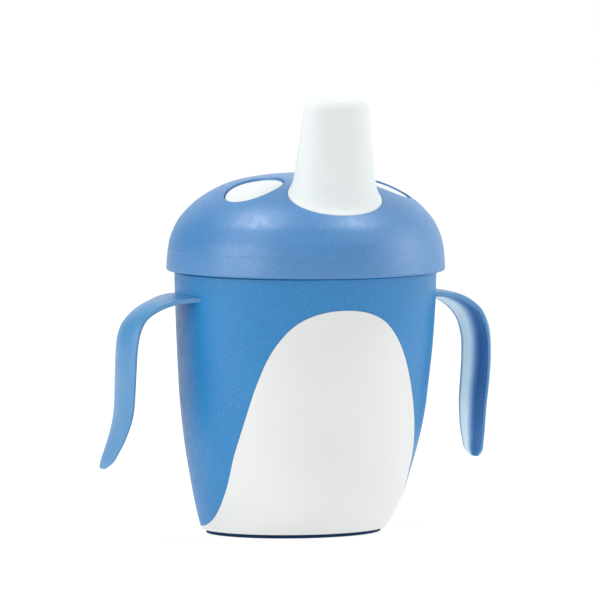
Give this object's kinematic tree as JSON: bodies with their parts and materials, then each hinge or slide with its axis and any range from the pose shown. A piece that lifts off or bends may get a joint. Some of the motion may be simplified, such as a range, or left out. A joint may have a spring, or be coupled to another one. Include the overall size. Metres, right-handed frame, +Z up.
{
  "type": "sippy cup",
  "caption": "Two-handled training cup with a bib-fronted vessel, a domed screw lid, a hard drinking spout and a removable spill-proof valve.",
  "frame": {"origin": "on the screw axis of the lid, in the plane that the cup stands on, which is also the middle of the footprint box", "axes": "+Z up along the screw axis, -Y toward the front with the spout and the white bib, +X and -X toward the two grips"},
  "size_m": [0.121, 0.0838, 0.1326],
  "materials": {
    "cup_blue": "satin blue polypropylene with a fine grain",
    "bib_white": "satin white polypropylene",
    "foot_navy": "matt dark-blue soft elastomer",
    "grip_blue": "satin blue polypropylene with a fine grain",
    "lid_blue": "satin blue polypropylene with a fine grain",
    "spout_white": "smooth satin white polypropylene",
    "silicone_clear": "milky soft silicone",
    "carrier_white": "satin pale polypropylene"
  },
  "bodies": {
    "cup": {"cup_body": "cup_blue", "belly_panel": "bib_white", "foot_ring": "foot_navy", "handle_left": "grip_blue", "handle_right": "grip_blue"},
    "gasket": {"lid_gasket": "silicone_clear"},
    "lid": {"lid_shell": "lid_blue", "spout_insert": "spout_white"},
    "valve": {"valve_holder": "carrier_white", "flow_membrane": "silicone_clear", "vent_membrane": "silicone_clear"}
  },
  "joints": [
    {"name": "lid_rise", "type": "slide", "parent": "cup", "child": "gasket", "axis": [0, 0, 1], "range_m": [0, 0.0205]},
    {"name": "lid_turn", "type": "hinge", "parent": "gasket", "child": "lid", "pos_m": [0, 0, 0.084], "axis": [0, 0, 1], "range_deg": [0, 600]},
    {"name": "valve_pull", "type": "slide", "parent": "lid", "child": "valve", "axis": [0, 0, -1], "range_m": [0, 0.012]}
  ],
  "couplings": [
    {"joint": "lid_rise", "follows": "lid_turn", "m_per_rad": 0.0019099}
  ]
}
